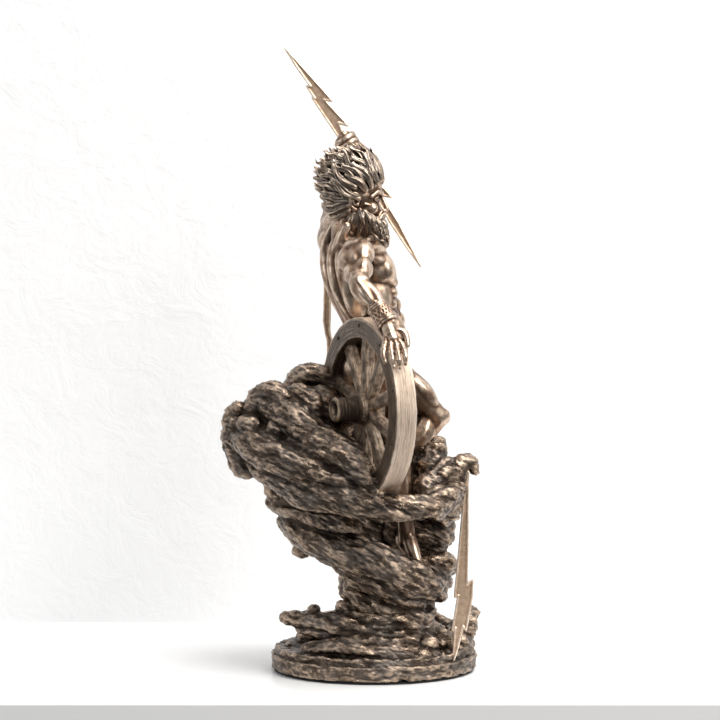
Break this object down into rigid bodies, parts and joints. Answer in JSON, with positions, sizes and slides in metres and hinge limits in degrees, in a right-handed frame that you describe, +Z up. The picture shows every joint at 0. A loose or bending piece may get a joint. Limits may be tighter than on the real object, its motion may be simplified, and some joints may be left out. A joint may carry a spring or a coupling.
{
  "type": "statuette",
  "caption": "Bearded storm god statuette: a bare-chested figure with a spoked wheel and lightning bolts standing on a swirling storm cloud over an oval rocky base.",
  "frame": {"origin": "centre of the oval underside of the base pad, on the surface the statuette stands on", "axes": "+Z up, +X the way the figure faces, +Y the figure's left"},
  "size_m": [0.1168, 0.1131, 0.2822],
  "materials": {
    "bronze": "dark antiqued bronze, rubbed bright on the edges",
    "wheel_bronze": "brown antiqued bronze with carved wood grain",
    "gold_bronze": "light golden bronze, satin",
    "felt": "black felt"
  },
  "bodies": {
    "root": {"figure_on_storm_cloud": "bronze", "spoked_wheel": "wheel_bronze", "raised_bolt": "gold_bronze", "front_bolt": "gold_bronze", "rear_bolt": "gold_bronze", "base_pad": "felt"}
  },
  "joints": []
}
